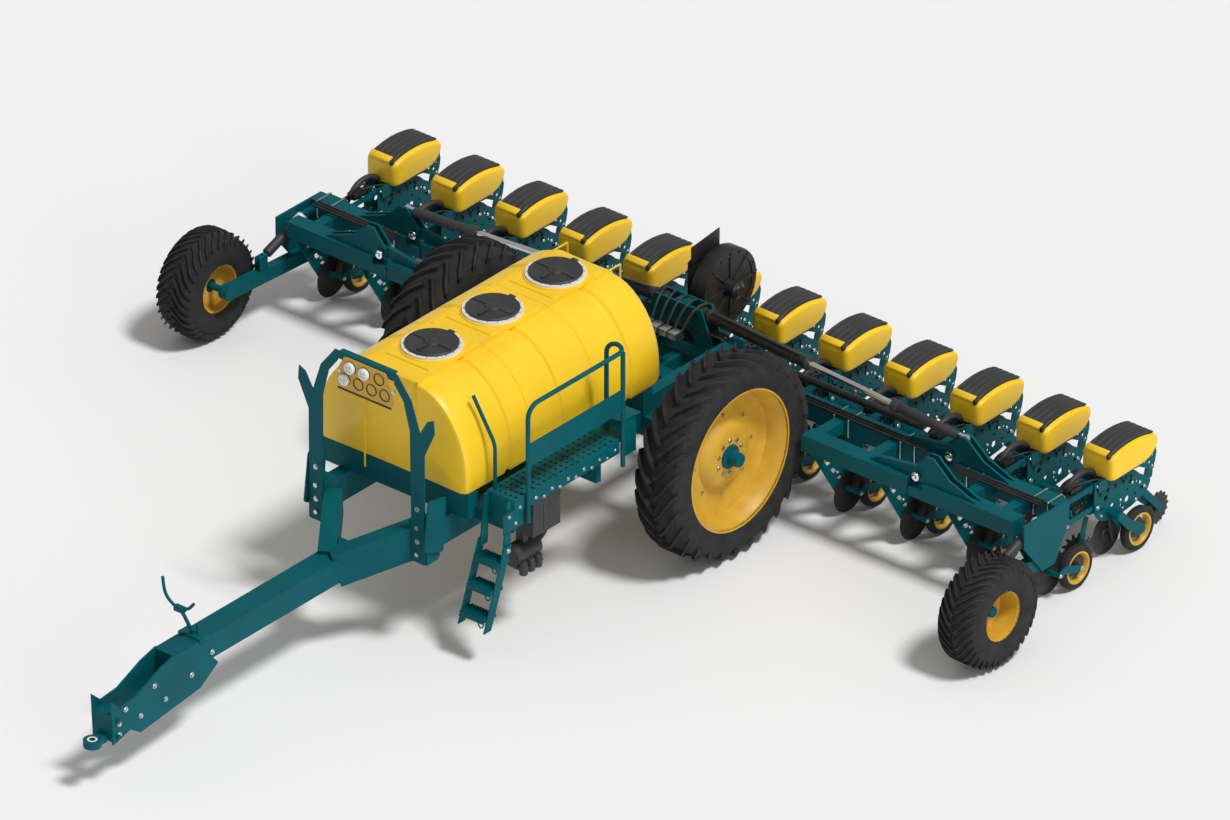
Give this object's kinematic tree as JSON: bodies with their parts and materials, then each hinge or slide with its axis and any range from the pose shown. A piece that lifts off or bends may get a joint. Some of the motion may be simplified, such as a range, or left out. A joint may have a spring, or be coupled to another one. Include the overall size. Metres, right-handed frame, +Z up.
{
  "type": "corn planter",
  "caption": "Trailed row-crop planter: drawbar, liquid tank between two tall wheels, folding toolbar, floating row units with seed hoppers",
  "frame": {"origin": "middle of the footprint on the ground, halfway between the front of the tow eye and the back of the closing wheels", "axes": "+Z up, -Y to the front (tow eye), +X to the ladder side"},
  "size_m": [8.76, 9.025, 2.47],
  "materials": {
    "main_frame": "dark teal paint, slightly glossy",
    "drawbar": "dark teal paint, slightly glossy",
    "hitch_eye": "dark teal paint, slightly glossy",
    "hose_holder": "dark teal paint, slightly glossy",
    "guard_hoop": "dark teal paint, slightly glossy",
    "coupler_board": "yellow paint",
    "tank": "moulded yellow plastic",
    "tank_straps": "yellow paint",
    "hatch_rings": "white plastic ring",
    "platform": "dark teal paint, slightly glossy",
    "tool_box": "matt black moulded plastic",
    "tower": "dark teal paint, slightly glossy",
    "fan_housing": "black painted steel",
    "fasteners": "zinc plated",
    "centre_feeders": "dark teal paint, slightly glossy",
    "hatch_lid_front": "matt black moulded plastic",
    "hatch_lid_middle": "matt black moulded plastic",
    "hatch_lid_rear": "matt black moulded plastic",
    "ladder": "dark teal paint, slightly glossy",
    "parking_jack": "black painted steel",
    "main_tyre_left": "black tyre rubber, rim yellow",
    "main_rim_left": "yellow paint",
    "wing_left": "dark teal paint, slightly glossy",
    "wing_arm_left": "dark teal paint, slightly glossy",
    "left_feeders": "dark teal paint, slightly glossy",
    "wing_wheel_left": "black tyre rubber, rim yellow",
    "fold_barrel_left": "black paint",
    "fold_rod_left": "hard chrome",
    "main_tyre_right": "black tyre rubber, rim yellow",
    "main_rim_right": "yellow paint",
    "wing_right": "dark teal paint, slightly glossy",
    "wing_arm_right": "dark teal paint, slightly glossy",
    "right_feeders": "dark teal paint, slightly glossy",
    "wing_wheel_right": "black tyre rubber, rim yellow",
    "fold_barrel_right": "black paint",
    "fold_rod_right": "hard chrome",
    "left_lower_arms": "dark teal paint, slightly glossy",
    "left_upper_arms": "dark teal paint, slightly glossy",
    "left_row_frames": "dark teal paint, slightly glossy",
    "left_hoppers": "moulded yellow plastic",
    "left_hopper_lids": "matt black moulded plastic",
    "left_opener_discs": "black painted steel",
    "left_depth_wheels": "black tyre rubber, rim yellow",
    "left_closing_wheels": "black painted steel",
    "centre_lower_arms": "dark teal paint, slightly glossy",
    "centre_upper_arms": "dark teal paint, slightly glossy",
    "centre_row_frames": "dark teal paint, slightly glossy",
    "centre_hoppers": "moulded yellow plastic",
    "centre_hopper_lids": "matt black moulded plastic",
    "centre_opener_discs": "black painted steel",
    "centre_depth_wheels": "black tyre rubber, rim yellow",
    "centre_closing_wheels": "black painted steel",
    "right_lower_arms": "dark teal paint, slightly glossy",
    "right_upper_arms": "dark teal paint, slightly glossy",
    "right_row_frames": "dark teal paint, slightly glossy",
    "right_hoppers": "moulded yellow plastic",
    "right_hopper_lids": "matt black moulded plastic",
    "right_opener_discs": "black painted steel",
    "right_depth_wheels": "black tyre rubber, rim yellow",
    "right_closing_wheels": "black painted steel"
  },
  "bodies": {
    "chassis": {"main_frame": "main_frame", "drawbar": "drawbar", "hitch_eye": "hitch_eye", "hose_holder": "hose_holder", "guard_hoop": "guard_hoop", "coupler_board": "coupler_board", "tank": "tank", "tank_straps": "tank_straps", "hatch_rings": "hatch_rings", "platform": "platform", "tool_box": "tool_box", "tower": "tower", "fan_housing": "fan_housing", "fasteners": "fasteners", "centre_feeders": "centre_feeders"},
    "hatch_front": {"hatch_lid_front": "hatch_lid_front"},
    "hatch_middle": {"hatch_lid_middle": "hatch_lid_middle"},
    "hatch_rear": {"hatch_lid_rear": "hatch_lid_rear"},
    "ladder": {"ladder": "ladder"},
    "parking_jack": {"parking_jack": "parking_jack"},
    "main_wheel_left": {"main_tyre_left": "main_tyre_left", "main_rim_left": "main_rim_left"},
    "wing_left": {"wing_left": "wing_left", "wing_arm_left": "wing_arm_left", "left_feeders": "left_feeders"},
    "wing_wheel_left": {"wing_wheel_left": "wing_wheel_left"},
    "fold_barrel_left": {"fold_barrel_left": "fold_barrel_left"},
    "fold_rod_left": {"fold_rod_left": "fold_rod_left"},
    "main_wheel_right": {"main_tyre_right": "main_tyre_right", "main_rim_right": "main_rim_right"},
    "wing_right": {"wing_right": "wing_right", "wing_arm_right": "wing_arm_right", "right_feeders": "right_feeders"},
    "wing_wheel_right": {"wing_wheel_right": "wing_wheel_right"},
    "fold_barrel_right": {"fold_barrel_right": "fold_barrel_right"},
    "fold_rod_right": {"fold_rod_right": "fold_rod_right"},
    "left_lower_arms": {"left_lower_arms": "left_lower_arms"},
    "left_upper_arms": {"left_upper_arms": "left_upper_arms"},
    "left_rows": {"left_row_frames": "left_row_frames", "left_hoppers": "left_hoppers"},
    "left_hopper_lids": {"left_hopper_lids": "left_hopper_lids"},
    "left_opener_discs": {"left_opener_discs": "left_opener_discs"},
    "left_depth_wheels": {"left_depth_wheels": "left_depth_wheels"},
    "left_closing_wheels": {"left_closing_wheels": "left_closing_wheels"},
    "centre_lower_arms": {"centre_lower_arms": "centre_lower_arms"},
    "centre_upper_arms": {"centre_upper_arms": "centre_upper_arms"},
    "centre_rows": {"centre_row_frames": "centre_row_frames", "centre_hoppers": "centre_hoppers"},
    "centre_hopper_lids": {"centre_hopper_lids": "centre_hopper_lids"},
    "centre_opener_discs": {"centre_opener_discs": "centre_opener_discs"},
    "centre_depth_wheels": {"centre_depth_wheels": "centre_depth_wheels"},
    "centre_closing_wheels": {"centre_closing_wheels": "centre_closing_wheels"},
    "right_lower_arms": {"right_lower_arms": "right_lower_arms"},
    "right_upper_arms": {"right_upper_arms": "right_upper_arms"},
    "right_rows": {"right_row_frames": "right_row_frames", "right_hoppers": "right_hoppers"},
    "right_hopper_lids": {"right_hopper_lids": "right_hopper_lids"},
    "right_opener_discs": {"right_opener_discs": "right_opener_discs"},
    "right_depth_wheels": {"right_depth_wheels": "right_depth_wheels"},
    "right_closing_wheels": {"right_closing_wheels": "right_closing_wheels"}
  },
  "joints": [
    {"name": "hatch_front_open", "type": "hinge", "parent": "chassis", "child": "hatch_front", "pos_m": [0, 0.0105, 2.2883], "axis": [-1, 0, 0], "range_deg": [0, 100]},
    {"name": "hatch_middle_open", "type": "hinge", "parent": "chassis", "child": "hatch_middle", "pos_m": [0, 0.7705, 2.2883], "axis": [-1, 0, 0], "range_deg": [0, 100]},
    {"name": "hatch_rear_open", "type": "hinge", "parent": "chassis", "child": "hatch_rear", "pos_m": [0, 1.5605, 2.2883], "axis": [-1, 0, 0], "range_deg": [0, 100]},
    {"name": "ladder_fold", "type": "hinge", "parent": "chassis", "child": "ladder", "pos_m": [1, -0.6475, 0.95], "axis": [-1, 0, 0], "range_deg": [0, 100]},
    {"name": "jack_swing", "type": "hinge", "parent": "chassis", "child": "parking_jack", "pos_m": [0, -3.6775, 0.54], "axis": [-1, 0, 0], "range_deg": [0, 90]},
    {"name": "main_wheel_left_roll", "type": "hinge", "parent": "chassis", "child": "main_wheel_left", "pos_m": [-1.4, 1.7425, 0.907], "axis": [1, 0, 0], "continuous": true},
    {"name": "wing_left_fold", "type": "hinge", "parent": "chassis", "child": "wing_left", "pos_m": [-2.88, 2.7175, 0.93], "axis": [0, 1, 0], "range_deg": [0, 90]},
    {"name": "wing_wheel_left_roll", "type": "hinge", "parent": "wing_left", "child": "wing_wheel_left", "pos_m": [-4.2, 1.7425, 0.475], "axis": [1, 0, 0], "continuous": true},
    {"name": "fold_barrel_left_tilt", "type": "hinge", "parent": "chassis", "child": "fold_barrel_left", "pos_m": [-0.2, 2.9325, 1.28], "axis": [0, 1, 0], "range_deg": [-2, 0.5]},
    {"name": "fold_rod_left_stroke", "type": "slide", "parent": "fold_barrel_left", "child": "fold_rod_left", "axis": [-0.9979, 0, -0.0642], "range_m": [-0.29, 0]},
    {"name": "main_wheel_right_roll", "type": "hinge", "parent": "chassis", "child": "main_wheel_right", "pos_m": [1.4, 1.7425, 0.907], "axis": [1, 0, 0], "continuous": true},
    {"name": "wing_right_fold", "type": "hinge", "parent": "chassis", "child": "wing_right", "pos_m": [2.88, 2.7175, 0.93], "axis": [0, -1, 0], "range_deg": [0, 90]},
    {"name": "wing_wheel_right_roll", "type": "hinge", "parent": "wing_right", "child": "wing_wheel_right", "pos_m": [4.2, 1.7425, 0.475], "axis": [1, 0, 0], "continuous": true},
    {"name": "fold_barrel_right_tilt", "type": "hinge", "parent": "chassis", "child": "fold_barrel_right", "pos_m": [0.2, 2.9325, 1.28], "axis": [0, -1, 0], "range_deg": [-2, 0.5]},
    {"name": "fold_rod_right_stroke", "type": "slide", "parent": "fold_barrel_right", "child": "fold_rod_right", "axis": [0.9979, 0, -0.0642], "range_m": [-0.29, 0]},
    {"name": "left_rows_float", "type": "hinge", "parent": "wing_left", "child": "left_lower_arms", "pos_m": [0, 3.0875, 0.56], "axis": [1, 0, 0], "range_deg": [-10, 14]},
    {"name": "left_upper_arms_turn", "type": "hinge", "parent": "wing_left", "child": "left_upper_arms", "pos_m": [0, 3.0875, 0.76], "axis": [1, 0, 0], "range_deg": [-10, 14]},
    {"name": "left_rows_level", "type": "hinge", "parent": "left_lower_arms", "child": "left_rows", "pos_m": [0, 3.4875, 0.56], "axis": [1, 0, 0], "range_deg": [-14, 10]},
    {"name": "left_lids_open", "type": "hinge", "parent": "left_rows", "child": "left_hopper_lids", "pos_m": [0, 4.1325, 1.0023], "axis": [1, 0, 0], "range_deg": [-75, 0]},
    {"name": "left_openers_roll", "type": "hinge", "parent": "left_rows", "child": "left_opener_discs", "pos_m": [0, 3.7225, 0.19], "axis": [1, 0, 0], "continuous": true},
    {"name": "left_depth_wheels_roll", "type": "hinge", "parent": "left_rows", "child": "left_depth_wheels", "pos_m": [0, 3.9425, 0.195], "axis": [1, 0, 0], "continuous": true},
    {"name": "left_closing_wheels_roll", "type": "hinge", "parent": "left_rows", "child": "left_closing_wheels", "pos_m": [0, 4.3625, 0.15], "axis": [1, 0, 0], "continuous": true},
    {"name": "centre_rows_float", "type": "hinge", "parent": "chassis", "child": "centre_lower_arms", "pos_m": [0, 3.0875, 0.56], "axis": [1, 0, 0], "range_deg": [-10, 14]},
    {"name": "centre_upper_arms_turn", "type": "hinge", "parent": "chassis", "child": "centre_upper_arms", "pos_m": [0, 3.0875, 0.76], "axis": [1, 0, 0], "range_deg": [-10, 14]},
    {"name": "centre_rows_level", "type": "hinge", "parent": "centre_lower_arms", "child": "centre_rows", "pos_m": [0, 3.4875, 0.56], "axis": [1, 0, 0], "range_deg": [-14, 10]},
    {"name": "centre_lids_open", "type": "hinge", "parent": "centre_rows", "child": "centre_hopper_lids", "pos_m": [0, 4.1325, 1.0023], "axis": [1, 0, 0], "range_deg": [-75, 0]},
    {"name": "centre_openers_roll", "type": "hinge", "parent": "centre_rows", "child": "centre_opener_discs", "pos_m": [0, 3.7225, 0.19], "axis": [1, 0, 0], "continuous": true},
    {"name": "centre_depth_wheels_roll", "type": "hinge", "parent": "centre_rows", "child": "centre_depth_wheels", "pos_m": [0, 3.9425, 0.195], "axis": [1, 0, 0], "continuous": true},
    {"name": "centre_closing_wheels_roll", "type": "hinge", "parent": "centre_rows", "child": "centre_closing_wheels", "pos_m": [0, 4.3625, 0.15], "axis": [1, 0, 0], "continuous": true},
    {"name": "right_rows_float", "type": "hinge", "parent": "wing_right", "child": "right_lower_arms", "pos_m": [0, 3.0875, 0.56], "axis": [1, 0, 0], "range_deg": [-10, 14]},
    {"name": "right_upper_arms_turn", "type": "hinge", "parent": "wing_right", "child": "right_upper_arms", "pos_m": [0, 3.0875, 0.76], "axis": [1, 0, 0], "range_deg": [-10, 14]},
    {"name": "right_rows_level", "type": "hinge", "parent": "right_lower_arms", "child": "right_rows", "pos_m": [0, 3.4875, 0.56], "axis": [1, 0, 0], "range_deg": [-14, 10]},
    {"name": "right_lids_open", "type": "hinge", "parent": "right_rows", "child": "right_hopper_lids", "pos_m": [0, 4.1325, 1.0023], "axis": [1, 0, 0], "range_deg": [-75, 0]},
    {"name": "right_openers_roll", "type": "hinge", "parent": "right_rows", "child": "right_opener_discs", "pos_m": [0, 3.7225, 0.19], "axis": [1, 0, 0], "continuous": true},
    {"name": "right_depth_wheels_roll", "type": "hinge", "parent": "right_rows", "child": "right_depth_wheels", "pos_m": [0, 3.9425, 0.195], "axis": [1, 0, 0], "continuous": true},
    {"name": "right_closing_wheels_roll", "type": "hinge", "parent": "right_rows", "child": "right_closing_wheels", "pos_m": [0, 4.3625, 0.15], "axis": [1, 0, 0], "continuous": true}
  ],
  "couplings": [
    {"joint": "fold_barrel_left_tilt", "follows": "wing_left_fold", "ratio": -0.017304},
    {"joint": "fold_rod_left_stroke", "follows": "wing_left_fold", "m_per_rad": -0.1816},
    {"joint": "fold_barrel_right_tilt", "follows": "wing_right_fold", "ratio": -0.017304},
    {"joint": "fold_rod_right_stroke", "follows": "wing_right_fold", "m_per_rad": -0.1816},
    {"joint": "left_upper_arms_turn", "follows": "left_rows_float", "ratio": 1},
    {"joint": "left_rows_level", "follows": "left_rows_float", "ratio": -1},
    {"joint": "centre_upper_arms_turn", "follows": "centre_rows_float", "ratio": 1},
    {"joint": "centre_rows_level", "follows": "centre_rows_float", "ratio": -1},
    {"joint": "right_upper_arms_turn", "follows": "right_rows_float", "ratio": 1},
    {"joint": "right_rows_level", "follows": "right_rows_float", "ratio": -1}
  ]
}
